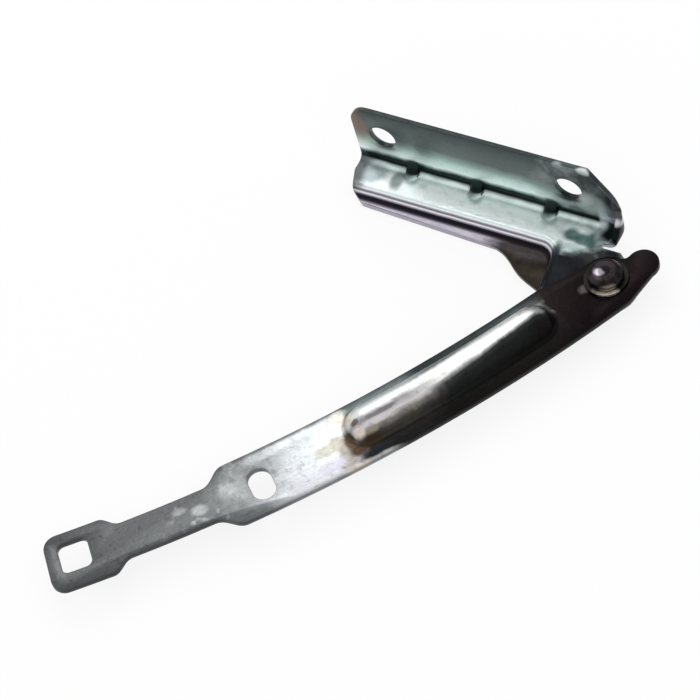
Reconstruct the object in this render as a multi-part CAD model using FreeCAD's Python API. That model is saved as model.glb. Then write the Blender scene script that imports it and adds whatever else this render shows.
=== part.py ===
import FreeCAD, Part
import math
import os

os.makedirs("parts", exist_ok=True)

# Row frame: X along the bracket, Y out of the bracket's bolted face, Z along the pivot axis.
# The origin is the middle of the two bolt holes, on the bolted face.

# body bracket
bracket_sheet = 2.5
bracket_left_margin = 12.6
bracket_wall_margin = 22.4
flange_top_z = 13.4
panel_top_z = -16.0
rim_drop = 5.0
rim_slope_run = 2.6
fold_radius = 3.0
bolt_spacing = 80.0
bolt_hole_radius = 5.5
flange_corner_radius = 7.0
chamfer_length = 13.1
chamfer_end_z = -5.7
wall_end_y = -11.0
wall_slope_inset = 0.5
wall_slope_top_z = -4.6
wall_foot_height = 2.5
relief_width = 2.0
crease_y = -16.6
crease_corner_inset = 22.9
crease_corner_radius = 8.0
ear_crease_lean_deg = 9.8
crease_radius = 3.4
rim_foot_radius = 1.2
rim_left_y = -9.0
rim_left_bends = ((3.0, -17.0), (8.0, -20.2))
lobe_bends = ((-51.5, 6.2), (-44.0, 2.5), (-38.5, -1.8), (-30.5, -5.6), (-18.5, -10.0))
ear_radius = 11.4
ear_join_deg = 252.5
ear_shoulder_out = 2.0
dart_places = (-29.0, -0.9, 31.0)
dart_reach = 3.9
dart_radius = 3.0

# hood arm
arm_sheet = 3.0
arm_curve_radius = 650.0
arm_heading_deg = 63.5
strap_half_width = 13.8
strap_length = 160.0
taper_length = 11.0
neck_half_width = 7.6
neck_run = 47.0
pad_flare = 4.5
pad_half_width = 12.3
pad_length = 21.7
pad_corner_radius = 5.5
square_hole_margin = 10.7
square_hole_long = 13.2
square_hole_wide = 11.6
square_hole_aside = -1.1
square_corner_radius = 2.6
slot_back = 10.2
slot_aside = 1.2
slot_half_width = 4.5
slot_half_travel = 2.7
bead_near = 25.0
bead_back = 46.0
bead_aside = -1.2
bead_side_gap = 5.2
bead_height = 7.0
bead_foot_radius = 2.0
head_radius = 10.6
shoulder_length = 22.0
stop_reach = 4.4
stop_angle_deg = 49.9
stop_radius = 6.2
stop_valley_radius = 3.0

# pivot
pivot_outboard = 4.1
pivot_y = -28.8
pin_radius = 5.0
running_gap = 0.06
bush_wall = 1.5
bush_collar_radius = 8.4
bush_collar_height = 0.9
rivet_head_radius = 6.9
rivet_head_height = 3.8
rivet_dimple_radius = 2.3
rivet_dimple_depth = 0.9
tail_radius = 7.0
tail_height = 3.2
washer_radius = 9.4
washer_sheet = 1.2
turning_gap = 0.3

# places worked out from the sizes above
bracket_left_x = -bolt_spacing / 2 - bracket_left_margin
wall_outer_x = bolt_spacing / 2 + bracket_wall_margin
chamfer_start_x = wall_outer_x - chamfer_length
crease_corner_x = wall_outer_x - crease_corner_inset
pivot_x = wall_outer_x + pivot_outboard
cutter_span = 3 * bolt_spacing
bead_far = strap_length - bead_back
bead_half_width = strap_half_width - bead_side_gap
slot_place = strap_length - slot_back
neck_end = strap_length + neck_run
pad_start = neck_end + pad_flare
pad_end = pad_start + pad_length
square_hole_place = pad_end - square_hole_margin

# levels worked out from the sizes above
wall_inner_x = wall_outer_x - bracket_sheet
panel_under_z = panel_top_z - bracket_sheet
rim_top_z = panel_top_z - rim_drop
arm_under_z = panel_top_z + washer_sheet + turning_gap
arm_top_z = arm_under_z + arm_sheet
collar_top_z = arm_top_z + bush_collar_height
rivet_head_z = collar_top_z + turning_gap
tail_washer_under_z = panel_under_z - washer_sheet
outline_seam_z = panel_top_z + fold_radius + 1
bush_outer_radius = pin_radius + running_gap + bush_wall

UP = FreeCAD.Vector(0, 0, 1)
BACK = FreeCAD.Vector(0, 1, 0)
PIVOT = FreeCAD.Vector(pivot_x, pivot_y, 0)


def vec(x, y, z=0.0):
    return FreeCAD.Vector(x, y, z)


def box(low, high):
    size = high - low
    return Part.makeBox(size.x, size.y, size.z, low)


def prism(points, move):
    face = Part.Face(Part.makePolygon(points + [points[0]]))
    return face.extrude(move)


def round_edges(shape, radius, chosen):
    edges = [edge for edge in shape.Edges if chosen(edge)]
    return shape.makeFillet(radius, edges)


def runs_along(edge, axis):
    line = edge.valueAt(edge.LastParameter) - edge.valueAt(edge.FirstParameter)
    if line.Length < 1e-6 or not isinstance(edge.Curve, Part.Line):
        return False
    return abs(line.normalize().dot(axis)) > 0.999


def turned(outline):
    points = [vec(pivot_x + radius, pivot_y, z) for radius, z in outline]
    face = Part.Face(Part.makePolygon(points + [points[0]]))
    return face.revolve(PIVOT, UP, 360)


def export(shape, name):
    solids = shape.Solids
    if len(solids) != 1:
        raise ValueError(name + " is not one solid")
    solids[0].exportStep("parts/" + name + ".step")
    print(name, "volume", round(solids[0].Volume), "valid", solids[0].isValid())


def corner_block(depth):
    """Room in front of the flange and above the panel, pushed out by depth."""
    low = vec(-cutter_span, -cutter_span, panel_top_z - depth)
    high = vec(wall_inner_x + depth, -bracket_sheet + depth, cutter_span)
    block = box(low, high)

    def at_fold(edge):
        middle = edge.CenterOfMass
        behind = abs(middle.y - high.y) < 0.01
        below = abs(middle.z - low.z) < 0.01
        beside = abs(middle.x - high.x) < 0.01
        return (behind and below) or (behind and beside) or (below and beside)

    return round_edges(block, fold_radius + depth, at_fold)


def raised_panel(depth):
    """The block that lifts the panel above the rim, pushed down by depth."""
    slope = rim_slope_run / rim_drop
    shift = depth * math.tan(math.atan(slope) / 2)
    top = panel_top_z - depth
    drop = rim_drop + 6
    run = drop * slope
    top_y = crease_y + shift
    left = -cutter_span / 2
    behind = cutter_span / 4
    side = [vec(left, behind, top), vec(left, top_y, top), vec(left, top_y - run, top - drop)]
    side += [vec(left, behind, top - drop)]
    back = prism(side, vec(cutter_span, 0, 0))
    lean = math.radians(ear_crease_lean_deg)
    across = vec(math.cos(lean), math.sin(lean))
    corner = vec(crease_corner_x + shift, top_y, 0)
    ahead = vec(-across.y, across.x)
    start = corner - ahead * cutter_span / 2
    far = start + across * cutter_span
    end = [start + vec(0, 0, top), start - across * run + vec(0, 0, top - drop)]
    end += [far + vec(0, 0, top - drop), far + vec(0, 0, top)]
    block = back.fuse(prism(end, ahead * (cutter_span / 2 + behind / 2))).removeSplitter()

    def at_corner(edge):
        low = min(edge.Vertexes, key=lambda point: point.Z).Point
        high = max(edge.Vertexes, key=lambda point: point.Z).Point
        near = (vec(high.x, high.y) - corner).Length < 1
        return near and abs(high.z - top) < 0.01 and abs(low.z - top + drop) < 0.01

    block = round_edges(block, crease_corner_radius + shift, at_corner)

    def at_crease(edge):
        middle = edge.CenterOfMass
        inside = middle.x < crease_corner_x + cutter_span / 8 and middle.y < top_y + run
        ends = abs(middle.y - start.y) < run or abs(middle.x - left) < run
        return abs(middle.z - top) < 0.01 and inside and not ends

    return round_edges(block, crease_radius - depth, at_crease)


def rim_room(depth):
    """Room above the rim, outside the raised panel."""
    low = vec(-cutter_span / 3, -cutter_span / 3, rim_top_z - depth)
    high = vec(wall_inner_x - fold_radius - 1, -bracket_sheet - fold_radius - 1, cutter_span)
    room = box(low, high).cut(raised_panel(depth))

    def at_foot(edge):
        middle = edge.CenterOfMass
        inside = middle.y > low.y + 1 and low.x + 1 < middle.x < high.x - 1
        return abs(middle.z - low.z) < 0.01 and inside

    return round_edges(room, rim_foot_radius + depth, at_foot)


def front_room(depth):
    ear_start_y = wall_end_y - relief_width / 2
    beyond = box(vec(0, -cutter_span, panel_top_z - depth), vec(cutter_span, ear_start_y, cutter_span))
    return corner_block(depth).fuse([beyond, rim_room(depth)])


def dart(radius):
    """A rib shape laid across the fold, round on the open side."""
    start = vec(0, -bracket_sheet - dart_reach, panel_top_z)
    end = vec(0, -bracket_sheet, panel_top_z + dart_reach)
    along = (end - start).normalize()
    out = vec(0, 1, -1).normalize()
    side = vec(1, 0, 0)
    base = start - along * 4 * radius + out * 2.0
    left = base - side * radius
    right = base + side * radius
    far_left = left + out * 4 * bracket_sheet
    far_right = right + out * 4 * bracket_sheet
    arc = Part.Arc(left, base - out * radius, right).toShape()
    edges = [arc, Part.makeLine(right, far_right), Part.makeLine(far_right, far_left)]
    edges.append(Part.makeLine(far_left, left))
    return Part.Face(Part.Wire(edges)).extrude(along * (dart_reach * 1.5 + 8 * radius))


def upper_outline():
    """The flange and the end wall seen from the front and from the side."""
    low = outline_seam_z
    top = flange_top_z
    left = bracket_left_x
    start = left + flange_corner_radius
    middle = start - flange_corner_radius * math.sqrt(0.5)
    centre_z = top - flange_corner_radius
    high = centre_z + flange_corner_radius * math.sqrt(0.5)
    ahead = -cutter_span / 2
    edges = [Part.makeLine(vec(left, ahead, low), vec(left, ahead, centre_z))]
    bend = [vec(left, ahead, centre_z), vec(middle, ahead, high), vec(start, ahead, top)]
    edges.append(Part.Arc(*bend).toShape())
    corners = [bend[-1], vec(chamfer_start_x, ahead, top), vec(wall_outer_x, ahead, chamfer_end_z)]
    corners += [vec(wall_outer_x, ahead, low), vec(left, ahead, low)]
    edges += [Part.makeLine(corners[i], corners[i + 1]) for i in range(len(corners) - 1)]
    front = Part.Face(Part.Wire(edges)).extrude(vec(0, cutter_span, 0))
    slope_y = -bracket_sheet - wall_slope_inset
    corners = [(cutter_span, cutter_span), (slope_y, cutter_span), (slope_y, wall_slope_top_z)]
    corners += [(wall_end_y, panel_top_z + wall_foot_height), (wall_end_y, panel_under_z)]
    corners.append((cutter_span, panel_under_z))
    side = prism([vec(-cutter_span, y, z) for y, z in corners], vec(2 * cutter_span, 0, 0))
    return front.common(side)


def plan_outline():
    """The panel, rim, lobe and ear seen from above, with a slit where the end wall stops."""
    low = panel_under_z - rim_drop - 5
    pivot = vec(pivot_x, pivot_y, low)
    points = [vec(bracket_left_x, cutter_span / 4, low), vec(bracket_left_x, rim_left_y, low)]
    points += [vec(bracket_left_x + inset, y, low) for inset, y in rim_left_bends]
    lobe = [vec(pivot_x + x, pivot_y + y, low) for x, y in lobe_bends]
    points.append(lobe[0])
    edges = [Part.makeLine(points[i], points[i + 1]) for i in range(len(points) - 1)]
    join = math.radians(ear_join_deg)
    lobe.append(pivot + vec(math.cos(join), math.sin(join)) * ear_radius)
    curve = Part.BSplineCurve()
    curve.interpolate(lobe)
    edges.append(curve.toShape())
    relief_x = wall_inner_x - fold_radius
    relief_y = wall_end_y - relief_width
    shoulder = vec(wall_outer_x + ear_shoulder_out, relief_y, low)
    reach = shoulder - pivot
    lean = math.atan2(reach.y, reach.x) - math.acos(ear_radius / reach.Length)
    touch = pivot + vec(math.cos(lean), math.sin(lean)) * ear_radius
    edges.append(Part.Arc(lobe[-1], pivot + vec(ear_radius, 0), touch).toShape())
    slit = [vec(relief_x, relief_y, low)]
    slit.append(vec(relief_x - relief_width / 2, wall_end_y - relief_width / 2, low))
    slit.append(vec(relief_x, wall_end_y, low))
    edges.append(Part.makeLine(touch, shoulder))
    edges.append(Part.makeLine(shoulder, slit[0]))
    edges.append(Part.Arc(*slit).toShape())
    behind = cutter_span / 4
    corners = [slit[-1], vec(wall_outer_x, wall_end_y, low), vec(wall_outer_x, behind, low), points[0]]
    edges += [Part.makeLine(corners[i], corners[i + 1]) for i in range(len(corners) - 1)]
    height = outline_seam_z + 0.001 - low
    return Part.Face(Part.Wire(edges)).extrude(vec(0, 0, height))


def make_bracket():
    inside = front_room(0.0)
    outside = front_room(bracket_sheet)
    for place in dart_places:
        rib = dart(dart_radius)
        rib.translate(vec(place, 0, 0))
        inside = inside.cut(rib)
        hollow = dart(dart_radius - bracket_sheet)
        hollow.translate(vec(place, 0, 0))
        outside = outside.cut(hollow)
    outline = upper_outline().fuse(plan_outline())
    bracket = outside.cut(inside).common(outline)
    for x in (-bolt_spacing / 2, bolt_spacing / 2):
        start = vec(x, -4 * bracket_sheet, 0)
        bracket = bracket.cut(Part.makeCylinder(bolt_hole_radius, 8 * bracket_sheet, start, BACK))
    start = PIVOT + vec(0, 0, panel_under_z - bracket_sheet)
    hole = Part.makeCylinder(pin_radius + running_gap, 4 * bracket_sheet, start, UP)
    return bracket.cut(hole).removeSplitter()


def arm_point(along, aside, z):
    heading = math.radians(arm_heading_deg)
    turn = heading - math.pi / 2 - along / arm_curve_radius
    centre_x = pivot_x - arm_curve_radius * math.sin(heading)
    centre_y = pivot_y + arm_curve_radius * math.cos(heading)
    reach = arm_curve_radius + aside
    return vec(centre_x + reach * math.cos(turn), centre_y + reach * math.sin(turn), z)


def arm_edge(start, end, aside, z):
    points = [arm_point(place, aside, z) for place in (start, (start + end) / 2, end)]
    return Part.Arc(*points).toShape()


def strap_outline():
    z = arm_under_z
    taper_end = strap_length + taper_length
    sides = []
    for side in (1, -1):
        wide = side * strap_half_width
        thin = side * neck_half_width
        pad = side * pad_half_width
        if side > 0:
            part = [arm_edge(0, strap_length, wide, z)]
        else:
            part = [arm_edge(shoulder_length, strap_length, wide, z)]
            bend = [(0, -head_radius), (shoulder_length * 0.5, -head_radius * 0.6 + wide * 0.4)]
            bend.append((shoulder_length, wide))
            curve = Part.BSplineCurve()
            curve.interpolate([arm_point(place, aside, z) for place, aside in bend])
            part.append(curve.toShape())
        drop = wide - thin
        knee = [(strap_length, wide), (strap_length + taper_length * 0.34, wide - drop * 0.24)]
        knee += [(strap_length + taper_length * 0.68, thin + drop * 0.2), (taper_end, thin)]
        points = [arm_point(place, aside, z) for place, aside in knee]
        curve = Part.BSplineCurve()
        curve.interpolate(points)
        part.append(curve.toShape())
        part.append(arm_edge(taper_end, neck_end - pad_flare, thin, z))
        rise = pad - thin
        ramp = [(neck_end - pad_flare, thin), (neck_end - pad_flare * 0.3, thin + rise * 0.24)]
        ramp += [(pad_start - pad_flare * 0.6, pad - rise * 0.16), (pad_start, pad)]
        points = [arm_point(place, aside, z) for place, aside in ramp]
        curve = Part.BSplineCurve()
        curve.interpolate(points)
        part.append(curve.toShape())
        part.append(arm_edge(pad_start, pad_end, pad, z))
        sides.append(part)
    far = Part.makeLine(arm_point(pad_end, pad_half_width, z), arm_point(pad_end, -pad_half_width, z))
    near = Part.makeLine(arm_point(0, strap_half_width, z), arm_point(0, -head_radius, z))
    edges = Part.__sortEdges__(sides[0] + sides[1] + [far, near])
    return Part.Face(Part.Wire(edges)).extrude(vec(0, 0, arm_sheet))


def bead_shape(shrink):
    """A long round topped ridge following the arm, with a rolled foot, moved in by shrink."""
    radius = (bead_half_width ** 2 + bead_height ** 2) / (2 * bead_height)
    crown = FreeCAD.Vector(0, 0, arm_top_z + bead_height - radius)
    foot_z = arm_top_z + bead_foot_radius
    foot_x = math.sqrt((radius + bead_foot_radius) ** 2 - (foot_z - crown.z) ** 2)
    foot = FreeCAD.Vector(foot_x, 0, foot_z)
    level = arm_top_z - shrink
    joint = crown + (foot - crown).normalize() * (radius - shrink)
    down = FreeCAD.Vector(0, 0, -1)
    middle = foot + ((joint - foot).normalize() + down).normalize() * (bead_foot_radius + shrink)
    peak = crown + UP * (radius - shrink)
    shoulder = crown + ((joint - crown).normalize() + UP).normalize() * (radius - shrink)
    rim = vec(foot_x, 0, level)
    under = vec(foot_x, 0, level - 1)
    base = vec(0, 0, level - 1)
    centre = arm_point(0, -arm_curve_radius, 0)
    near = arm_point(bead_near + bead_half_width, bead_aside, 0)
    far = arm_point(bead_far - bead_half_width, bead_aside, 0)

    def half_section(point, side):
        out = (point - centre).normalize() * side
        corners = [point + out * spot.x + vec(0, 0, spot.z) for spot in (under, rim, joint, peak, base)]
        bends = [point + out * spot.x + vec(0, 0, spot.z) for spot in (middle, shoulder)]
        edges = [Part.makeLine(corners[0], corners[1])]
        edges.append(Part.Arc(corners[1], bends[0], corners[2]).toShape())
        edges.append(Part.Arc(corners[2], bends[1], corners[3]).toShape())
        edges.append(Part.makeLine(corners[3], corners[4]))
        edges.append(Part.makeLine(corners[4], corners[0]))
        return Part.Face(Part.Wire(edges))

    along = math.degrees((bead_far - bead_near - 2 * bead_half_width) / arm_curve_radius)
    pieces = [half_section(near, side).revolve(centre, UP, -along) for side in (1, -1)]
    pieces.append(half_section(near, 1).revolve(near, UP, 180))
    pieces.append(half_section(far, 1).revolve(far, UP, -180))
    return pieces[0].fuse(pieces[1:]).removeSplitter()


def stop_lobe():
    """The rounded hook past the pivot, with a hollow rolled between it and the head."""
    z = arm_under_z
    angle = math.radians(stop_angle_deg)
    start = PIVOT + vec(0, 0, z)
    apart = head_radius + stop_reach
    centre = start + vec(math.cos(angle), math.sin(angle)) * apart
    lobe = Part.makeCylinder(stop_radius, arm_sheet, centre, UP)
    outer = arm_point(0, strap_half_width, z)
    lower = arm_point(stop_radius, strap_half_width, z)
    reach = centre - outer
    side = vec(reach.y, -reach.x).normalize() * stop_radius
    lobe = lobe.fuse(prism([start, lower, outer, centre + side, centre], vec(0, 0, arm_sheet)))
    to_head = head_radius + stop_valley_radius
    to_lobe = stop_radius + stop_valley_radius
    lean = math.acos((apart ** 2 + to_head ** 2 - to_lobe ** 2) / (2 * apart * to_head))
    hollow = start + vec(math.cos(angle + lean), math.sin(angle + lean)) * to_head
    web = prism([start, centre, hollow], vec(0, 0, arm_sheet))
    web = web.cut(Part.makeCylinder(stop_valley_radius, 3 * arm_sheet, hollow - UP * arm_sheet, UP))
    return lobe.fuse(web)


def square_to_arm(place, aside, half_along, half_across, z):
    """Corners of a straight sided shape turned to the arm's direction at one place."""
    centre = arm_point(place, aside, z)
    across = (arm_point(place, aside + 1, z) - centre).normalize()
    along = vec(across.y, -across.x)
    steps = ((-1, -1), (1, -1), (1, 1), (-1, 1))
    return [centre + along * half_along * i + across * half_across * j for i, j in steps]


def slot_shape():
    z = arm_under_z - arm_sheet
    corners = square_to_arm(slot_place, slot_aside, slot_half_width, slot_half_travel, z)
    ends = [(corners[0] + corners[1]) / 2, (corners[2] + corners[3]) / 2]
    rounds = [Part.makeCylinder(slot_half_width, 3 * arm_sheet, end, UP) for end in ends]
    return prism(corners, vec(0, 0, 3 * arm_sheet)).fuse(rounds).removeSplitter()


def square_hole():
    z = arm_under_z - arm_sheet
    sides = square_hole_wide / 2, square_hole_long / 2
    corners = square_to_arm(square_hole_place, square_hole_aside, *sides, z)
    hole = prism(corners, vec(0, 0, 3 * arm_sheet))
    return round_edges(hole, square_corner_radius, lambda edge: runs_along(edge, UP))


def make_arm():
    arm = strap_outline()
    ends = [arm_point(pad_end, side * pad_half_width, 0) for side in (1, -1)]

    def at_pad_end(edge):
        middle = edge.CenterOfMass
        flat = vec(middle.x, middle.y, 0)
        return runs_along(edge, UP) and min((flat - end).Length for end in ends) < 0.1

    arm = round_edges(arm, pad_corner_radius, at_pad_end)
    head = Part.makeCylinder(head_radius, arm_sheet, PIVOT + vec(0, 0, arm_under_z), UP)
    arm = arm.fuse([head, stop_lobe()]).removeSplitter()

    arm = arm.fuse(bead_shape(0.0)).removeSplitter()
    arm = arm.cut(bead_shape(arm_sheet))
    start = PIVOT + vec(0, 0, arm_under_z - arm_sheet)
    hole = Part.makeCylinder(bush_outer_radius, 3 * arm_sheet, start, UP)
    return arm.cut([hole, slot_shape(), square_hole()]).removeSplitter()


def make_rivet():
    head = rivet_head_radius
    head_top = rivet_head_z + rivet_head_height
    tail_top = tail_washer_under_z
    tail_low = tail_top - tail_height
    outline = [(0, head_top - rivet_dimple_depth), (rivet_dimple_radius, head_top)]
    outline += [(head * 0.62, head_top - 0.1), (head * 0.84, head_top - rivet_head_height * 0.18)]
    outline.append((head * 0.97, head_top - rivet_head_height * 0.48))
    outline.append((head, head_top - rivet_head_height * 0.7))
    outline += [(head, rivet_head_z), (pin_radius, rivet_head_z), (pin_radius, tail_top)]
    outline += [(tail_radius, tail_top), (tail_radius, tail_low + tail_height * 0.5)]
    outline += [(tail_radius * 0.82, tail_low), (0, tail_low)]
    return turned(outline)


def make_bush():
    inner = pin_radius + running_gap
    outline = [(inner, arm_under_z), (bush_outer_radius, arm_under_z)]
    outline += [(bush_outer_radius, arm_top_z), (bush_collar_radius, arm_top_z)]
    outline += [(bush_collar_radius, collar_top_z), (inner, collar_top_z)]
    return turned(outline)


def make_washer(low):
    inner = pin_radius + running_gap
    high = low + washer_sheet
    return turned([(inner, low), (washer_radius, low), (washer_radius, high), (inner, high)])


export(make_bracket(), "body_bracket")
export(make_arm(), "hood_arm")
export(make_rivet(), "pivot_rivet")
export(make_bush(), "pivot_bush")
export(make_washer(panel_top_z), "thrust_washer")
export(make_washer(tail_washer_under_z), "tail_washer")
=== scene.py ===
import bpy
import math
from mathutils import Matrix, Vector


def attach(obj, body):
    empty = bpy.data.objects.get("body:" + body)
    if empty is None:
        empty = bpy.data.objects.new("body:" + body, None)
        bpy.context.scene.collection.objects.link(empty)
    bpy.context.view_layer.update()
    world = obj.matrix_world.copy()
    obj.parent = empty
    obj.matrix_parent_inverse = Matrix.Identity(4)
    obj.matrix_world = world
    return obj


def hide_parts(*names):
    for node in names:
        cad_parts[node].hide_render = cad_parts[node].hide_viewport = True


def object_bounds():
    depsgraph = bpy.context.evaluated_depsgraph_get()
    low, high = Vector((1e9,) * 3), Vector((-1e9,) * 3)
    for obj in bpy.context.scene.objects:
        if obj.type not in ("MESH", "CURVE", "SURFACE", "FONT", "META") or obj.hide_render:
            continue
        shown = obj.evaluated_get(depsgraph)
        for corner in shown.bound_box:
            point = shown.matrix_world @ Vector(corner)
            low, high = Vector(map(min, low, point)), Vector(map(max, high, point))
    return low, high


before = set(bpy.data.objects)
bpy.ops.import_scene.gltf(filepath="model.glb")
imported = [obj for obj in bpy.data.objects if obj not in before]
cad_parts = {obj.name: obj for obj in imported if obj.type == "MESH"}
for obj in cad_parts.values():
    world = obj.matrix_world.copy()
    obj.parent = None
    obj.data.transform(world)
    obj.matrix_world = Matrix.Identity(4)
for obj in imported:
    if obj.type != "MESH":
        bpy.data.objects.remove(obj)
cadLow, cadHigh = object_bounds()
bpy.ops.object.select_all(action="DESELECT")
print("frame loaded")

pivot = (66.5, -28.8)          # mm, the axis that the arm turns on
cloudSpan = (0.3, 0.7)         # noise values of the smoothest and the roughest cloud


def linearColour(code):
    # sRGB hex to the linear values that the shader takes
    parts = [int(code[i:i + 2], 16) / 255 for i in (1, 3, 5)]
    return [p / 12.92 if p <= 0.04045 else ((p + 0.055) / 1.055) ** 2.4 for p in parts] + [1.0]


def addNode(tree, kind, sockets=None, stops=None, **settings):
    node = tree.nodes.new("ShaderNode" + kind)
    for name, value in settings.items():
        setattr(node, name, value)
    if stops:
        ramp = node.color_ramp
        while len(ramp.elements) < len(stops):
            ramp.elements.new(0.5)
        for element, (place, code) in zip(ramp.elements, stops):
            element.position = place
            element.color = linearColour(code)
    for name, value in (sockets or {}).items():
        if isinstance(value, bpy.types.NodeSocket):
            tree.links.new(value, node.inputs[name])
        else:
            node.inputs[name].default_value = value
    return node


def startMaterial(name, metallic):
    material = bpy.data.materials.new(name)
    material.use_nodes = True
    tree = material.node_tree
    shader = tree.nodes["Principled BSDF"]
    shader.inputs["Metallic"].default_value = metallic
    return material, tree, shader


def finishShader(tree, shader, colour, cloud, roughness, bumps):
    # the colour, a roughness that follows the clouds, and bumps from coarse to fine
    tree.links.new(colour, shader.inputs["Base Color"])
    rough = addNode(tree, "MapRange", {0: cloud, 1: cloudSpan[0], 2: cloudSpan[1],
                                       3: roughness[0], 4: roughness[1]}).outputs[0]
    tree.links.new(rough, shader.inputs["Roughness"])
    normal = None
    for height, (strength, depth) in bumps:
        sockets = {"Height": height, "Strength": strength, "Distance": depth / 1000}
        if normal is not None:
            sockets["Normal"] = normal
        normal = addNode(tree, "Bump", sockets).outputs[0]
    tree.links.new(normal, shader.inputs["Normal"])


def toneBy(tree, value, stops):
    # a colour read off stops that are given in the value's own measure
    low, high = stops[0][0], stops[-1][0]
    place = addNode(tree, "MapRange", {0: value, 1: low, 2: high}).outputs[0]
    shares = [((stop - low) / (high - low), code) for stop, code in stops]
    return addNode(tree, "ValToRGB", {0: place}, shares).outputs[0]


def wander(tree, value, pattern, amount):
    # moves a distance by a noise, so a border of tone is not ruled
    pushed = addNode(tree, "Math", {0: pattern, 1: 0.5}, operation="SUBTRACT").outputs[0]
    scaled = addNode(tree, "Math", {0: pushed, 1: amount}, operation="MULTIPLY").outputs[0]
    return addNode(tree, "Math", {0: value, 1: scaled}, operation="ADD").outputs[0]


def addLayers(tree, colour, layers, tones, values):
    # each layer is a tone, its strength, and limits: a value, where it starts, where it is full
    for tone, strength, *limits in layers:
        over = tones[tone] if tone in tones else linearColour(tone)
        mask = strength
        for name, start, full in limits:
            share = addNode(tree, "MapRange", {0: values[name], 1: start, 2: full}).outputs[0]
            mask = addNode(tree, "Math", {0: share, 1: mask}, operation="MULTIPLY").outputs[0]
        colour = addNode(tree, "Mix", {0: mask, 6: colour, 7: over}, data_type="RGBA").outputs[2]
    return colour


markEdge = {
    "outer": 1.25,             # share of its reach at which a mark has faded out
    "inner": 0.5,              # and at which it is full
    "wander": 0.7,
}


def addMarks(tree, colour, places, pattern, marks):
    # soft edged patches of oil, wear and tarnish, and of painted highlight and painted shade: middle
    # and reach in mm, tone and strength
    for middle, reach, tone, strength in marks:
        near = addNode(tree, "Mapping", {"Vector": places, "Scale": [1 / r for r in reach],
                                         "Location": [-m / r for m, r in zip(middle, reach)]})
        off = addNode(tree, "VectorMath", {0: near.outputs[0]}, operation="LENGTH").outputs["Value"]
        ragged = wander(tree, off, pattern, markEdge["wander"])
        soft = addNode(tree, "MapRange", {0: ragged, 1: markEdge["outer"], 2: markEdge["inner"]},
                       interpolation_type="SMOOTHSTEP").outputs[0]
        mask = addNode(tree, "Math", {0: soft, 1: strength}, operation="MULTIPLY").outputs[0]
        colour = addNode(tree, "Mix", {0: mask, 6: colour, 7: linearColour(tone)},
                         data_type="RGBA").outputs[2]
    return colour


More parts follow.
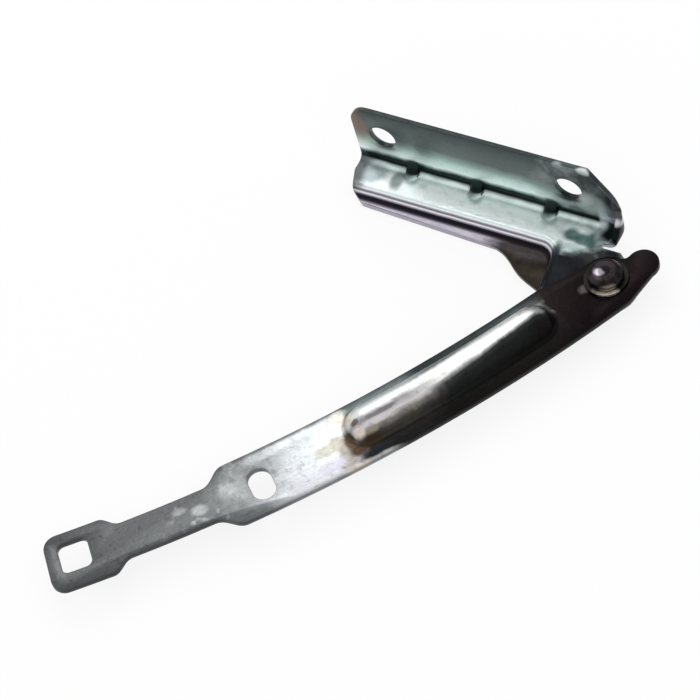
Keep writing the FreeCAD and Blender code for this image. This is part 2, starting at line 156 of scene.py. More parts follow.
# the arm's finish: stops run across the arm from its inner edge, in mm
armFinish = {
    "metallic": 0.96,
    "roughness": (0.27, 0.46),
    "curveRadius": 650.0,
    "headingDegrees": 63.5,
    "edgeWander": 2.2,         # mm that the tone borders wander across the arm
    "lengthWander": 16.0,      # mm that they wander along it
    "driftSize": 14.286,       # mm across the slow pattern that moves the borders along
    "raggedSize": 6.25,        # mm across the quicker one that moves them sideways
    "fleckSize": 4.762,
    "cloudSize": 3.03,         # mm across a cloud of tarnish
    "drawLines": (20.0, 0.9, 3.333),  # mm along, across and up, lines from the press
    "grain": 1.1,              # mm, rolled sheet grain, drawn coarser than the real 0.3
    "cloudStrength": 0.75,
    "lineStrength": 0.16,
    "lineBump": (0.1, 0.2),    # strength, and depth in mm
    "grainBump": (0.3, 0.25),
    "beadCross": 66.0,         # mm along, where the bead's stops hold as they are written
    "beadSlant": 0.075,        # mm that they slide across the bead for each mm along
    # pivotTones is painted shade: the plate round the pivot and the hook brown black
    "pivotTones": [(-14, "#1b1716"), (-6, "#171212"), (4, "#160f11"), (14, "#120d0e")],
    # beadTones: a painted highlight along the bead's inner flank and crest, painted shade on its
    # outer flank
    "beadTones": [(-14, "#1b2020"), (-10.5, "#2b3131"), (-7.8, "#454b4c"), (-6.0, "#6b7172"),
                  (-4.5, "#e0e1df"), (-3.8, "#f1f1ef"), (1.1, "#f1f1ef"), (2.0, "#979999"),
                  (3.0, "#343636"), (4.8, "#1e1f1f"), (9, "#0e0e0d"), (14, "#161312")],
    # endTones: painted light streaks on the far half of the bead, painted shade past its outer foot
    "endTones": [(-14, "#363b3d"), (-12, "#4d5556"), (-8, "#828a8b"), (-5.4, "#a9aeae"),
                 (-3.6, "#e6e9e8"), (-1.8, "#d9dbdb"), (0.2, "#9a989b"), (1.6, "#b2b0b2"),
                 (3.2, "#c9c6c7"), (4.6, "#7a7672"), (6.2, "#403d39"), (8.5, "#1d1c1a"),
                 (14, "#1c1d1d")],
    "brightTones": [(-14, "#4e5254"), (-12.8, "#6f7376"), (-11.6, "#b4b8bb"), (-5, "#d3d8da"),
                    (3, "#dcdfe3"), (9, "#d8dae0"), (12.4, "#d2d3d7"), (14, "#a9abae")],
    "slotTones": [(-14, "#484b4d"), (-12.6, "#636668"), (-11, "#868989"), (0, "#8f9292"),
                  (9, "#878a8c"), (13, "#6b6e70")],
    "hoodTones": [(-14, "#484b4b"), (-9, "#525455"), (-6, "#5b5d5e"), (2, "#5f6162"),
                  (8, "#565859"), (14, "#4a4c4d")],
    "cloudTones": [(0.3, "#c6c8ca"), (0.48, "#ffffff"), (0.78, "#eeeeec")],
    "lineTones": [(0.34, "#a9abad"), (0.5, "#ffffff")],
    # from the pivot to the pad, then pale flecks where the plate was rubbed on the neck
    "layers": [("beadTones", 1.0, ("alongSoft", 22, 37)),
               ("endTones", 1.0, ("alongSoft", 77, 89)),
               ("brightTones", 1.0, ("alongSoft", 112, 119)),
               ("slotTones", 1.0, ("alongSoft", 139, 153)),
               ("hoodTones", 1.0, ("alongSoft", 152, 170)),
               ("#a2a4a5", 0.5, ("fleck", 0.58, 0.7), ("along", 152, 160), ("along", 194, 178))],
    # sheared edges of the sheet are darker than its faces
    "edgeLayers": [("#2c2d2e", 0.6, ("steep", 0.3, 0.05))],
    # rust in the foot of the bead's far end, the warm stain that spreads from it over the plate,
    # pale stains and flecks, and painted highlights and streaks on the bead and the outer edge:
    # middle along, across and up, reach, tone, strength
    "marks": [((8.6, -2.0, -11.5), (2.8, 2.2, 2.0), "#6d6467", 0.6),
              # a painted highlight on the bead's near end
              ((29.6, -3.2, -6.6), (3.6, 3.4, 2.5), "#c9c9c6", 0.7),
              # painted highlights on the bead's crest near its far end and on its tip
              ((100.0, -3.2, -4.8), (12.0, 2.0, 3.0), "#d9dddd", 0.85),
              ((111.4, -4.6, -8.0), (3.0, 3.0, 4.0), "#e6dccd", 0.9),
              ((114.6, -8.0, -11.5), (4.0, 3.8, 2.0), "#d4ccbf", 0.85),
              ((113.8, -11.4, -11.5), (4.0, 1.8, 2.0), "#c0c3b5", 0.7),
              ((121.0, -7.0, -11.5), (6.0, 4.0, 2.0), "#d3dade", 0.6),
              # painted dark and light streaks on the bead's outer flank
              ((100.0, 1.0, -4.8), (8.5, 1.1, 3.0), "#747175", 0.85),
              ((102.4, 3.1, -5.6), (6.5, 1.2, 3.0), "#cbc6c8", 0.85),
              ((105.6, 4.9, -6.8), (3.2, 1.5, 3.0), "#8a8474", 0.75),
              ((116.6, 5.5, -11.5), (4.0, 5.6, 2.0), "#8a8074", 0.8),
              ((118.2, 0.4, -11.5), (3.4, 4.4, 2.0), "#a39a8e", 0.75),
              ((118.4, 10.2, -11.5), (4.4, 3.2, 2.0), "#938d84", 0.65),
              ((107.0, 7.2, -9.6), (5.5, 2.2, 3.0), "#352a20", 0.92),
              ((112.2, 7.0, -11.4), (4.2, 3.4, 3.0), "#3a2c1f", 0.95),
              ((113.9, 2.2, -11.0), (2.7, 5.0, 2.5), "#4b3b2e", 0.95),
              ((109.8, -0.5, -5.8), (1.8, 1.4, 3.0), "#5c4a42", 0.85),
              # a painted highlight on the bead's far tip
              ((110.2, 3.2, -7.6), (2.5, 2.3, 3.0), "#d6cbc1", 0.95),
              ((107.0, 11.4, -11.5), (6.5, 2.4, 2.0), "#212527", 0.9),
              # a painted highlight along the arm's outer edge
              ((107.0, 14.0, -13.6), (9.0, 1.5, 3.6), "#bdbfbe", 0.9),
              ((115.5, 13.8, -12.2), (6.0, 1.8, 3.0), "#d2cbc0", 0.9),
              ((122.6, 1.0, -11.5), (5.6, 3.0, 2.0), "#b9b8a6", 0.8),
              ((124.0, 8.2, -11.5), (5.6, 3.2, 2.0), "#c6c6d3", 0.8),
              ((174.0, 1.0, -11.5), (3.4, 2.4, 2.0), "#a4a6a7", 0.65),
              ((181.7, -2.0, -11.5), (3.0, 1.9, 2.0), "#97999b", 0.5),
              ((161.8, -2.3, -11.5), (4.6, 3.4, 2.0), "#a6a8aa", 0.4)],
}


def armPlaces(tree, d):
    # distance along the arm's curve from the pivot and distance across it, both in mm
    heading = math.radians(d["headingDegrees"])
    centre = (pivot[0] - d["curveRadius"] * math.sin(heading),
              pivot[1] + d["curveRadius"] * math.cos(heading))
    place = addNode(tree, "TexCoord").outputs["Object"]
    moved = addNode(tree, "Mapping", {"Vector": place, "Scale": (1000, 1000, 1000),
                                      "Location": (-centre[0], -centre[1], 0)}).outputs[0]
    x, y, z = addNode(tree, "SeparateXYZ", {0: moved}).outputs
    turn = addNode(tree, "Math", {0: y, 1: x}, operation="ARCTAN2").outputs[0]
    back = addNode(tree, "Math", {0: heading - math.pi / 2, 1: turn}, operation="SUBTRACT")
    along = addNode(tree, "Math", {0: back.outputs[0], 1: d["curveRadius"]},
                    operation="MULTIPLY").outputs[0]
    flat = addNode(tree, "CombineXYZ", {0: x, 1: y}).outputs[0]
    reach = addNode(tree, "VectorMath", {0: flat}, operation="LENGTH").outputs["Value"]
    across = addNode(tree, "Math", {0: reach, 1: d["curveRadius"]}, operation="SUBTRACT").outputs[0]
    unrolled = addNode(tree, "CombineXYZ", {0: along, 1: across, 2: z}).outputs[0]
    return along, across, unrolled


def makeArmFinish(d):
    # bright zinc plate over a pressed steel strap: a satin mirror, with painted highlights along the
    # bead, and painted shade, brown black, on the bead's outer flank and at the pivot
    material, tree, shader = startMaterial("zincPlatedArm", d["metallic"])
    along, across, unrolled = armPlaces(tree, d)
    drift = addNode(tree, "TexNoise", {"Vector": unrolled, "Scale": 1 / d["driftSize"],
                                       "Detail": 4.0}).outputs[0]
    ragged = addNode(tree, "TexNoise", {"Vector": unrolled, "Scale": 1 / d["raggedSize"],
                                        "Detail": 3.0, "Distortion": 0.4}).outputs[0]
    fleck = addNode(tree, "TexNoise", {"Vector": unrolled, "Scale": 1 / d["fleckSize"],
                                       "Detail": 2.0}).outputs[0]
    alongSoft = wander(tree, along, drift, d["lengthWander"])
    acrossSoft = wander(tree, across, ragged, d["edgeWander"])
    lean = addNode(tree, "Math", {0: along, 1: -d["beadSlant"], 2: d["beadSlant"] * d["beadCross"]},
                   operation="MULTIPLY_ADD").outputs[0]
    leaning = addNode(tree, "Math", {0: acrossSoft, 1: lean}, operation="ADD").outputs[0]
    tones = {"beadTones": toneBy(tree, leaning, d["beadTones"])}
    for name in ("pivotTones", "endTones", "brightTones", "slotTones", "hoodTones"):
        tones[name] = toneBy(tree, acrossSoft, d[name])
    facing = addNode(tree, "TexCoord").outputs["Normal"]
    upward = addNode(tree, "SeparateXYZ", {0: facing}).outputs[2]
    steep = addNode(tree, "Math", {0: upward}, operation="ABSOLUTE").outputs[0]
    values = {"along": along, "alongSoft": alongSoft, "fleck": fleck, "steep": steep}
    colour = addLayers(tree, tones["pivotTones"], d["layers"], tones, values)
    colour = addMarks(tree, colour, unrolled, ragged, d["marks"])
    # cloudy tarnish and draw lines
    lines = addNode(tree, "Mapping", {"Vector": unrolled,
                                      "Scale": [1 / size for size in d["drawLines"]]}).outputs[0]
    drawn = addNode(tree, "TexNoise", {"Vector": lines, "Scale": 1.0, "Detail": 3.0}).outputs[0]
    cloud = addNode(tree, "TexNoise", {"Vector": unrolled, "Scale": 1 / d["cloudSize"],
                                       "Detail": 5.0, "Roughness": 0.62}).outputs[0]
    for strength, tone in ((d["cloudStrength"], toneBy(tree, cloud, d["cloudTones"])),
                           (d["lineStrength"], toneBy(tree, drawn, d["lineTones"]))):
        colour = addNode(tree, "Mix", {0: strength, 6: colour, 7: tone},
                         data_type="RGBA", blend_type="MULTIPLY").outputs[2]
    colour = addLayers(tree, colour, d["edgeLayers"], tones, values)
    grain = addNode(tree, "TexNoise", {"Vector": unrolled, "Scale": 1 / d["grain"],
                                       "Detail": 4.0}).outputs[0]
    finishShader(tree, shader, colour, cloud, d["roughness"],
                 [(drawn, d["lineBump"]), (grain, d["grainBump"])])
    return material


# the bracket's finish: stops in mm up for flange, step and wall, in mm out for panel and rim
bracketFinish = {
    "metallic": 0.92,
    "roughness": (0.28, 0.48),
    "grain": 1.2,              # mm, pickled sheet grain, drawn coarser than the real 0.3
    "mottle": 9.0,             # mm across a blotch of the passivate
    "cloudSize": 3.333,        # mm across a small cloud in it
    "streaks": (20.0, 2.857, 2.857),  # mm along, out and up, lines from rolling
    "cloudStrength": 0.28,
    "lineBump": (0.2, 0.4),    # strength, and depth in mm
    "grainBump": (0.3, 0.25),
    "bendPlace": 57.9,         # mm along, the upright bend into the end wall
    "sway": {"z": 2.6, "zHair": 0.3, "y": 5.0, "xDull": 18.0, "xWorn": 9.0},  # mm, of borders
    # flangeTones: the dark band low on the flange, in the bend down to the panel, is a painted dark
    # reflection
    "flangeTones": [(-16, "#cfe0de"), (-15.2, "#2c3d39"), (-14.2, "#0c1513"), (-11.8, "#14211e"),
                    (-10.8, "#6f8a84"), (-9.2, "#e2f0ed"), (-5.6, "#c3d6d1"), (-2.6, "#8fa59f"),
                    (1, "#646f6c"), (8, "#566160"), (13.4, "#464e4e")],
    # panelTones: the panel is darker towards the arm and the ear by painted shade
    "panelTones": [(-34, "#2a2224"), (-25, "#3a3437"), (-21, "#6b7272"), (-18, "#b4c9c7"),
                   (-14, "#f8ffff"), (-7.6, "#f8ffff"), (-4.4, "#d4e4e2"), (-2.5, "#b4c6c4")],
    # stepTones: painted highlights along the crease at the panel's edge, and a painted dark
    # reflection on the slope down to the rim
    "stepTones": [(-21.2, "#8b8691"), (-20.7, "#6b6670"), (-20.3, "#2b2832"), (-19.7, "#15131b"),
                  (-18.7, "#17151e"), (-18.2, "#8d8896"), (-17.6, "#efecf4"), (-17.15, "#6d6a74"),
                  (-16.8, "#85838e"), (-16.4, "#f0f4f6"), (-16.1, "#a9b7b9")],
    "rimTones": [(-40, "#1f1a16"), (-30, "#2a241e"), (-25.5, "#2f2922"), (-24, "#6f6866"),
                 (-22.8, "#a19ba7"), (-18, "#b8b3c0")],
    # wallTones: a painted highlight band across the end wall and a painted shadow band beneath it
    "wallTones": [(-16, "#a9b4b4"), (-13.6, "#98a4a4"), (-12.4, "#22282b"), (-7.5, "#1d2226"),
                  (-6.0, "#5e6163"), (-4.6, "#e4e4e8"), (-2.6, "#c9c9ce"), (-1.2, "#4b464b"),
                  (6, "#3d3a3e"), (13.4, "#524e50")],
    "blotchTones": [(0.36, "#2b3835"), (0.47, "#7f9995"), (0.56, "#d8e8e6")],
    "dullTones": [(0.36, "#454b4c"), (0.5, "#6a7173"), (0.66, "#939b9c")],
    "cloudTones": [(0.3, "#bcc5c3"), (0.48, "#ffffff"), (0.8, "#f0f2f0")],
    # each level of the pressing takes its own tones, from the rim up to the flange: the panel is
    # blotched at the pivot end, painted shadow of the arm falls on the ear, the flange is a neutral
    # grey there, and a painted highlight runs down the upright bend
    "layers": [("stepTones", 1.0, ("z", -20.95, -20.75)),
               ("panelTones", 1.0, ("z", -16.3, -16.05)),
               ("blotchTones", 0.5, ("x", 24, 44), ("z", -16.3, -16.0)),
               # painted shadow of the arm on the ear
               ("#121518", 1.0, ("x", 38.5, 41.5), ("ySoft", -18, -21.5)),
               ("flangeTones", 1.0, ("z", -15.6, -14.4)),
               ("dullTones", 0.85, ("xDull", 22, 40), ("z", -13.2, -11.6)),
               ("wallTones", 1.0, ("x", 58.8, 60.0)),
               # a painted highlight down the upright bend
               ("#a6b2b3", 0.6, ("fromBend", 1.5, 0.4), ("z", -14.5, -11.0))],
    # painted shade on the sheared edges and the hole walls of the upright flange: dull and dark
    "edgeLayers": [("#272d2d", 0.8, ("square", 0.5, 0.2), ("z", -10.0, -8.0), ("x", 58.8, 57.3))],
    # the far upper corner is worn to brown, and undersides have one plain plate tone
    "lastLayers": [("#7d6958", 0.85, ("xWorn", -44.5, -50.5), ("z", -9.0, 3.0)),
                   ("#8d9a98", 1.0, ("upward", -0.2, -0.5))],
    "darts": (-29.0, -0.9, 31.0),
    # painted shade on each dart, in the fold beside it and in a run below it, and a painted dimming
    # of the lit crescent at each dart's foot, with its middle given from the dart's place
    "dartShade": [((1.0, -7.4, -15.8), (3.2, 2.8, 1.8), "#a3b6b4", 0.85),
            ((-1.0, -5.8, -15.8), (2.4, 2.2, 1.8), "#4d6462", 0.7),
            ((-0.2, -3.4, -14.2), (3.6, 3.2, 3.6), "#0f1a18", 0.92),
            ((0.4, -2.5, -12.0), (3.2, 2.0, 2.6), "#1c2a28", 0.9)],
    # stains, pale spots and old grease, with painted shade and painted highlights: middle, reach,
    # tone, strength
    "marks": [((-52.0, -10.0, -16), (8.4, 11.0, 3.0), "#32353a", 0.92),
              # painted shadow of the first dart on the panel
              ((-33.4, -8.8, -16), (3.0, 5.4, 2.0), "#4c5b60", 0.7),
              ((-43.6, -8.4, -16), (5.4, 6.4, 2.0), "#a3b1b2", 0.8),
              ((43.4, -11.2, -16), (4.4, 3.4, 1.5), "#365853", 0.9),
              ((48.4, -12.3, -16), (5.2, 3.0, 1.5), "#3c5c58", 0.9),
              ((52.2, -11.6, -16), (3.2, 4.6, 1.5), "#46635f", 0.85),
              ((46.4, -16.6, -16), (4.4, 2.2, 1.5), "#b3c9c5", 0.8),
              # painted shadow of the arm over the ear up to the end wall, and painted shade in the
              # rim's corner beside it
              ((47.0, -28.0, -16), (7.0, 9.0, 1.6), "#15171a", 0.95),
              ((53.0, -20.4, -16), (8.0, 5.4, 1.6), "#17181b", 0.95),
              ((60.5, -15.8, -16), (7.5, 3.2, 1.6), "#1b2020", 0.95),
              ((40.4, -22.0, -16.3), (2.6, 7.5, 1.3), "#182427", 0.9),
              ((48.6, -2.5, -5.4), (6.6, 3.0, 6.4), "#b4bcbb", 0.85),
              ((59.4, -3.0, -2.5), (4.2, 4.0, 9.0), "#3d383e", 0.92),
              # a painted highlight down the upright bend, across the fold and onto the panel
              ((53.2, -2.5, -10.0), (2.4, 3.4, 8.0), "#c3cbcc", 0.95),
              ((53.2, -5.2, -16), (2.0, 5.8, 2.4), "#a3aeb0", 0.9),
              ((55.4, -11.8, -16), (2.0, 3.6, 1.6), "#94a09f", 0.8),
              # painted shade under the end wall's fold
              ((57.0, -6.0, -15.4), (3.8, 5.2, 3.0), "#0b1215", 1.0),
              ((61.8, -8.8, -12.2), (3.6, 5.4, 4.8), "#0b1215", 1.0),
              # painted highlights on the end wall's lower fold and on the panel in front of it
              ((57.0, -2.5, -12.2), (5.2, 2.2, 1.8), "#e4e3ea", 0.97),
              ((60.8, -5.0, -8.4), (2.2, 2.6, 1.9), "#d6d5db", 0.9),
              ((58.0, -11.6, -16.6), (3.8, 1.5, 2.4), "#969d9e", 0.9),
              ((48.0, -2.5, 13.4), (3.2, 2.0, 2.0), "#c9cecf", 0.85),
              ((37.2, -2.5, 13.0), (2.2, 2.0, 1.8), "#969d9e", 0.7),
              # painted shade on the walls of the two bolt holes
              ((40.0, -1.6, -5.4), (6.2, 2.0, 2.8), "#131719", 0.9),
              ((-40.0, -1.6, -5.4), (6.2, 2.0, 2.8), "#1b2022", 0.85),
              ((27.5, -22.4, -21), (17.0, 7.5, 1.8), "#201b17", 0.92)],
}


def makeBracketFinish(d):
    # zinc plate with a blue clear passivate on a cold pressed bracket: cool green grey,
    # cloudy, brown where the plate has gone at a corner
    material, tree, shader = startMaterial("bluePassivatedZinc", d["metallic"])
    coordinates = addNode(tree, "TexCoord")
    moved = addNode(tree, "Mapping", {"Vector": coordinates.outputs["Object"],
                                      "Scale": (1000, 1000, 1000)}).outputs[0]
    x, y, z = addNode(tree, "SeparateXYZ", {0: moved}).outputs
    facing = addNode(tree, "SeparateXYZ", {0: coordinates.outputs["Normal"]}).outputs
    mottle = addNode(tree, "TexNoise", {"Vector": moved, "Scale": 1 / d["mottle"],
                                        "Detail": 5.0, "Distortion": 0.5}).outputs[0]
    sway = d["sway"]
    zSoft = wander(tree, z, mottle, sway["z"])
    zHair = wander(tree, z, mottle, sway["zHair"])
    ySoft = wander(tree, y, mottle, sway["y"])
    lines = {"flangeTones": zSoft, "panelTones": ySoft, "stepTones": zHair, "rimTones": ySoft,
             "wallTones": zSoft, "blotchTones": mottle, "dullTones": mottle}
    tones = {name: toneBy(tree, value, d[name]) for name, value in lines.items()}
    bendOff = addNode(tree, "Math", {0: x, 1: d["bendPlace"]}, operation="SUBTRACT").outputs[0]
    values = {
        "x": x, "z": z, "ySoft": ySoft, "upward": facing[2],
        "xDull": wander(tree, x, mottle, sway["xDull"]),
        "xWorn": wander(tree, x, mottle, sway["xWorn"]),
        "fromBend": addNode(tree, "Math", {0: bendOff}, operation="ABSOLUTE").outputs[0],
        "square": addNode(tree, "Math", {0: facing[1]}, operation="ABSOLUTE").outputs[0],
    }
    colour = addLayers(tree, tones["rimTones"], d["layers"], tones, values)
    # painted shade on and around each dart
    for dart in d["darts"]:
        drops = [((dart + middle[0], middle[1], middle[2]), *rest) for middle, *rest in d["dartShade"]]
        colour = addMarks(tree, colour, moved, mottle, drops)
    colour = addLayers(tree, colour, d["edgeLayers"], tones, values)
    colour = addMarks(tree, colour, moved, mottle, d["marks"])
    colour = addLayers(tree, colour, d["lastLayers"], tones, values)
    cloud = addNode(tree, "TexNoise", {"Vector": moved, "Scale": 1 / d["cloudSize"],
                                       "Detail": 5.0, "Roughness": 0.6}).outputs[0]
    colour = addNode(tree, "Mix", {0: d["cloudStrength"], 6: colour,
                                   7: toneBy(tree, cloud, d["cloudTones"])},
                     data_type="RGBA", blend_type="MULTIPLY").outputs[2]
    rolled = addNode(tree, "Mapping", {"Vector": moved,
                                       "Scale": [1 / size for size in d["streaks"]]}).outputs[0]
    streak = addNode(tree, "TexNoise", {"Vector": rolled, "Scale": 1.0, "Detail": 3.0}).outputs[0]
    grain = addNode(tree, "TexNoise", {"Vector": moved, "Scale": 1 / d["grain"],
                                       "Detail": 4.0}).outputs[0]
    finishShader(tree, shader, colour, cloud, d["roughness"],
                 [(streak, d["lineBump"]), (grain, d["grainBump"])])
    return material


# the small parts: each has its material's name, metallic, roughness from and to, three cloud
# tones from dark to light, and marks that are measured in mm from the pivot's axis
smallFinishes = {
    "cloudSize": 2.222,        # mm across a cloud of grease
    "grain": 0.909,            # mm, drawn coarser than the real one
    "cloudStops": (0.3, 0.5, 0.72),
    "grainBump": (0.25, 0.3),  # strength, and depth in mm
    # cold headed steel gone brown with old oil: a dark satin, with a painted glint and a painted lit
    # rim on its head
    "rivet": ("oiledRivetSteel", 0.9, (0.22, 0.42), ("#0e0b0c", "#191416", "#2d272a"),
              [((-1.5, 3.2, -6.6), (4.4, 2.6, 1.6), "#2a252a", 0.6),
               ((-2.0, -4.6, -6.8), (2.8, 2.2, 1.6), "#3a3438", 0.75),
               # a painted glint on the head, and a painted lit rim at its front edge
               ((-1.8, -1.2, -6.8), (2.2, 1.8, 1.6), "#b3a9b5", 0.9),
               ((4.1, -5.6, -9.0), (4.2, 3.0, 1.6), "#857b6f", 0.8)]),
    # a collar of sintered bronze: nearly black with oil, with a painted highlight on its rim at the
    # front
    "bush": ("sinteredBronze", 0.85, (0.32, 0.52), ("#110e0d", "#1b1715", "#29231f"),
             [((3.6, -6.2, -10.6), (5.6, 3.0, 2.0), "#d8cfc0", 0.95)]),
    # stamped washer steel: a plain oily grey
    "washer": ("oiledWasherSteel", 0.9, (0.3, 0.5), ("#3a3c3c", "#5c5f5f", "#868989"), []),
}


def makeSmallFinish(d, part):
    name, metallic, roughness, clouds, marks = d[part]
    material, tree, shader = startMaterial(name, metallic)
    place = addNode(tree, "TexCoord").outputs["Object"]
    moved = addNode(tree, "Mapping", {"Vector": place, "Scale": (1000, 1000, 1000),
                                      "Location": (-pivot[0], -pivot[1], 0)}).outputs[0]
    cloud = addNode(tree, "TexNoise", {"Vector": moved, "Scale": 1 / d["cloudSize"],
                                       "Detail": 5.0, "Roughness": 0.6}).outputs[0]
    colour = toneBy(tree, cloud, list(zip(d["cloudStops"], clouds)))
    colour = addMarks(tree, colour, moved, cloud, marks)
    grain = addNode(tree, "TexNoise", {"Vector": moved, "Scale": 1 / d["grain"],
                                       "Detail": 4.0}).outputs[0]
    finishShader(tree, shader, colour, cloud, roughness, [(grain, d["grainBump"])])
    return material


sheetEdges = {
    "arm": 0.45,               # mm, the rolled edge that blanking leaves
    "bracket": 0.4,
    "rings": 2,
    "angle": 38.0,             # degrees, only bends sharper than this count as an edge
    "flatAngle": 0.4,          # degrees, triangles nearer to level than this are merged
    "weld": 0.002,             # mm
    "smoothAngle": 32.0,
}


def softenSheet(node, name, width):
    # a merged copy of the stamping with its sheared edges rounded over
    bpy.ops.object.select_all(action="DESELECT")
    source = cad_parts[node]
    source.select_set(True)
    bpy.context.view_layer.objects.active = source
    bpy.ops.object.duplicate()
    piece = bpy.context.object
    piece.name = name
    bpy.ops.object.mode_set(mode="EDIT")
    bpy.ops.mesh.select_all(action="SELECT")
    bpy.ops.mesh.remove_doubles(threshold=sheetEdges["weld"] / 1000)
    bpy.ops.mesh.dissolve_limited(angle_limit=math.radians(sheetEdges["flatAngle"]))
    bpy.ops.mesh.normals_make_consistent(inside=False)
    bpy.ops.object.mode_set(mode="OBJECT")
    edge = piece.modifiers.new("rolledEdge", "BEVEL")
    edge.width = width / 1000
    edge.segments = sheetEdges["rings"]
    edge.limit_method = "ANGLE"
    edge.angle_limit = math.radians(sheetEdges["angle"])
    edge.use_clamp_overlap = False
    edge.miter_outer = "MITER_ARC"
    bpy.ops.object.modifier_apply(modifier=edge.name)
    bpy.ops.object.shade_smooth_by_angle(angle=math.radians(sheetEdges["smoothAngle"]))
    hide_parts(node)
    piece.select_set(False)
    return piece


armStamping = softenSheet("hood_arm", "armStamping", sheetEdges["arm"])
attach(armStamping, "arm")
bracketStamping = softenSheet("body_bracket", "bracketStamping", sheetEdges["bracket"])
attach(bracketStamping, "bracket")
print("stampings softened")

rivet = {
    "headRadius": 6.9,
    "headLow": -10.3,
    "headHigh": -6.5,
    "headRound": 2.6,          # mm, roll of the upset head
    "headRings": 9,
    "dimpleRadius": 2.3,
    "dimpleLip": 0.3,
    "dimpleRings": [(0.3, 0.0), (1.1, 0.675), (0.7, 0.225)],  # mm inward and down
    "shankRadius": 5.0,
    "tailHigh": -19.7,
    "tailLow": -22.9,
    "tailRadius": 7.0,
    "tailRound": 1.3,
    "tailRings": 5,
    "sides": 72,
    "smoothAngle": 34.0,
    "slack": 0.1,              # mm, for finding the head's top by its height
}


def pickFaces(mesh, test):
    # the mesh is in object mode here, so the choice is kept when edit mode starts
    for face in mesh.polygons:
        face.select = test(face)
    for edge in mesh.edges:
        edge.select = False
    for point in mesh.vertices:
        point.select = False


def growRing(radius, wanted):
    # scales the chosen ring about the rivet's axis
    middle = (pivot[0] / 1000, pivot[1] / 1000, 0)
    bpy.ops.transform.resize(value=(wanted / radius, wanted / radius, 1), center_override=middle)


def pullRing(height):
    bpy.ops.mesh.extrude_region_move(TRANSFORM_OT_translate={"value": (0, 0, height)})


def makeRivet(d):
    low, high, slack = d["headLow"] / 1000, d["headHigh"] / 1000, d["slack"] / 1000
    bpy.ops.object.select_all(action="DESELECT")
    bpy.ops.mesh.primitive_cylinder_add(
        vertices=d["sides"], radius=d["headRadius"] / 1000, depth=high - low,
        location=(pivot[0] / 1000, pivot[1] / 1000, (low + high) / 2))
    piece = bpy.context.object
    piece.name = "headedRivet"
    bpy.ops.object.transform_apply(location=True, rotation=True, scale=True)
    # the shank and the formed tail grow down from the head
    pickFaces(piece.data, lambda face: face.normal.z < -0.9)
    bpy.ops.object.mode_set(mode="EDIT")
    bpy.ops.mesh.select_mode(type="FACE")
    bpy.ops.mesh.extrude_region_move()
    growRing(d["headRadius"], d["shankRadius"])
    pullRing(d["tailHigh"] / 1000 - low)
    bpy.ops.mesh.extrude_region_move()
    growRing(d["shankRadius"], d["tailRadius"])
    pullRing((d["tailLow"] - d["tailHigh"]) / 1000)
    bpy.ops.mesh.bevel(offset=d["tailRound"] / 1000, segments=d["tailRings"], affect="EDGES")
    bpy.ops.mesh.select_all(action="DESELECT")
    bpy.ops.object.mode_set(mode="OBJECT")
    # the head's roll, and the dimple in what is left flat
    pickFaces(piece.data, lambda face: face.normal.z > 0.9 and face.center.z > high - slack)
    bpy.ops.object.mode_set(mode="EDIT")
    bpy.ops.mesh.bevel(offset=d["headRound"] / 1000, segments=d["headRings"], affect="EDGES")
    bpy.ops.object.mode_set(mode="OBJECT")
    pickFaces(piece.data, lambda face: face.normal.z > 0.999 and face.center.z > high - slack)
    bpy.ops.object.mode_set(mode="EDIT")
    flat = d["headRadius"] - d["headRound"]
    bpy.ops.mesh.inset(thickness=(flat - d["dimpleRadius"] - d["dimpleLip"]) / 1000)
    for inward, down in d["dimpleRings"]:
        bpy.ops.mesh.inset(thickness=inward / 1000, depth=-down / 1000)
    bpy.ops.object.mode_set(mode="OBJECT")
    bpy.ops.object.shade_smooth_by_angle(angle=math.radians(d["smoothAngle"]))
    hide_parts("pivot_rivet")
    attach(piece, "bracket")
    piece.select_set(False)
    return piece


headedRivet = makeRivet(rivet)
print("rivet made")

# each finish goes on the CAD nodes and on the pieces that stand for them
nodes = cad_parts
wearers = [
    (makeBracketFinish(bracketFinish), [nodes["body_bracket"], bracketStamping]),
    (makeArmFinish(armFinish), [nodes["hood_arm"], armStamping]),
    (makeSmallFinish(smallFinishes, "rivet"), [nodes["pivot_rivet"], headedRivet]),
    (makeSmallFinish(smallFinishes, "bush"), [nodes["pivot_bush"]]),
    (makeSmallFinish(smallFinishes, "washer"), [nodes["thrust_washer"], nodes["tail_washer"]]),
]
for material, pieces in wearers:
    for piece in pieces:
        piece.data.materials.clear()
        piece.data.materials.append(material)
print("finishes on")

# the floor, the world and the lamps
room = {
    "floorSize": 6.0,
    "floorGap": 0.00002,       # metres below the lowest point, so no faces meet
    "floorTone": "#f4f4f4",
    "floorGlow": 0.84,         # share of the floor seen as plain white
    "worldLight": 0.92,
    "keyPower": 3.6,
    "keySize": 0.7,
    "keyFrom": (-0.62, 0.62, 1.0),
    "fillPower": 0.8,
    "fillSize": 0.9,
    "fillFrom": (0.9, -0.5, 0.7),
}


def backdropSeen(tree):
    # 1 for the rays that show the backdrop: straight, in a gloss or through glass
    rays = addNode(tree, "LightPath").outputs
    seen = rays["Is Camera Ray"]
    for name in ("Is Glossy Ray", "Is Transmission Ray"):
        seen = addNode(tree, "Math", {0: seen, 1: rays[name]}, operation="MAXIMUM").outputs[0]
    return seen


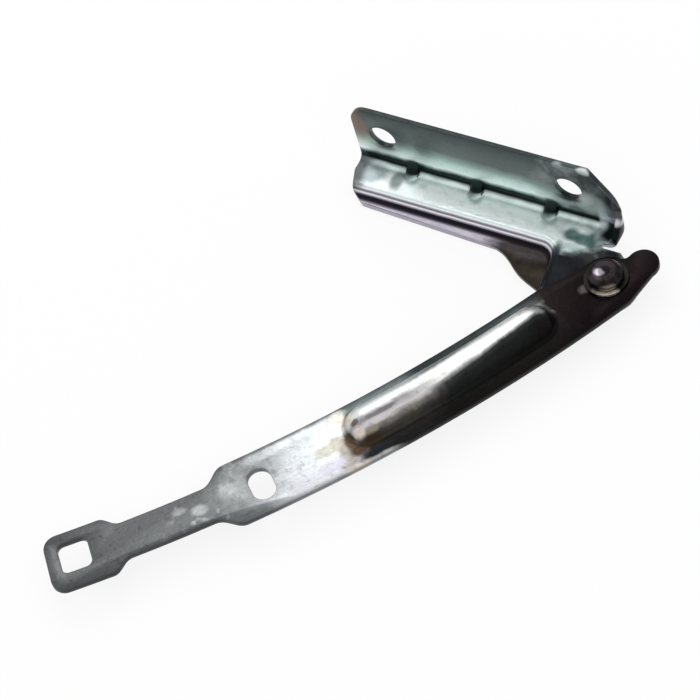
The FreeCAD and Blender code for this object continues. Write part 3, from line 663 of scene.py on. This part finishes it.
def makeFloor(d):
    # a roll of matte studio paper: white, with no sheen, and the object's shadow on it
    bpy.ops.mesh.primitive_plane_add(size=d["floorSize"],
                                     location=(0, 0, cadLow[2] - d["floorGap"]))
    floor = bpy.context.object
    floor.name = "floor"
    paper = bpy.data.materials.new("matteFloorPaper")
    paper.use_nodes = True
    tree = paper.node_tree
    tree.nodes.clear()
    share = addNode(tree, "Math", {0: backdropSeen(tree), 1: d["floorGlow"]},
                    operation="MULTIPLY").outputs[0]
    matte = addNode(tree, "BsdfDiffuse", {"Color": linearColour(d["floorTone"])}).outputs[0]
    glow = addNode(tree, "Emission", {"Color": (1, 1, 1, 1), "Strength": 1.0}).outputs[0]
    mixed = addNode(tree, "MixShader", {0: share, 1: matte, 2: glow}).outputs[0]
    addNode(tree, "OutputMaterial", {"Surface": mixed})
    floor.data.materials.append(paper)


def makeWorld(d):
    world = bpy.data.worlds.new("plainStudio")
    bpy.context.scene.world = world
    world.use_nodes = True
    tree = world.node_tree
    tree.nodes.clear()
    level = addNode(tree, "MapRange", {0: backdropSeen(tree), 3: d["worldLight"], 4: 1.0}).outputs[0]
    sky = addNode(tree, "Background", {"Color": (1, 1, 1, 1), "Strength": level}).outputs[0]
    addNode(tree, "OutputWorld", {"Surface": sky})


def addLamp(name, power, size, start, target):
    bpy.ops.object.light_add(type="AREA", location=start)
    lamp = bpy.context.object
    lamp.name = name
    lamp.data.energy = power
    lamp.data.size = size
    aim = Vector(target) - Vector(start)
    lamp.rotation_euler = aim.to_track_quat("-Z", "Y").to_euler()


makeFloor(room)
makeWorld(room)
middle = (cadLow + cadHigh) / 2
addLamp("keySoftbox", room["keyPower"], room["keySize"], room["keyFrom"], middle)
addLamp("fillSoftbox", room["fillPower"], room["fillSize"], room["fillFrom"], middle)
print("floor and light set")

# the camera at the photo's angle
lens = {
    "place": (0.48126, -0.62006, 0.91192),
    "turn": (0.63735, 0.20174, 0.48435),
    "focal": 161.85,
    "sensor": 36.0,
    "near": 0.05,
    "far": 20.0,
}
bpy.ops.object.camera_add(location=lens["place"], rotation=lens["turn"])
camera = bpy.context.object
camera.data.lens = lens["focal"]
camera.data.sensor_width = lens["sensor"]
camera.data.clip_start = lens["near"]
camera.data.clip_end = lens["far"]
bpy.context.scene.camera = camera
bpy.context.scene.view_settings.view_transform = "Standard"
print("camera set")
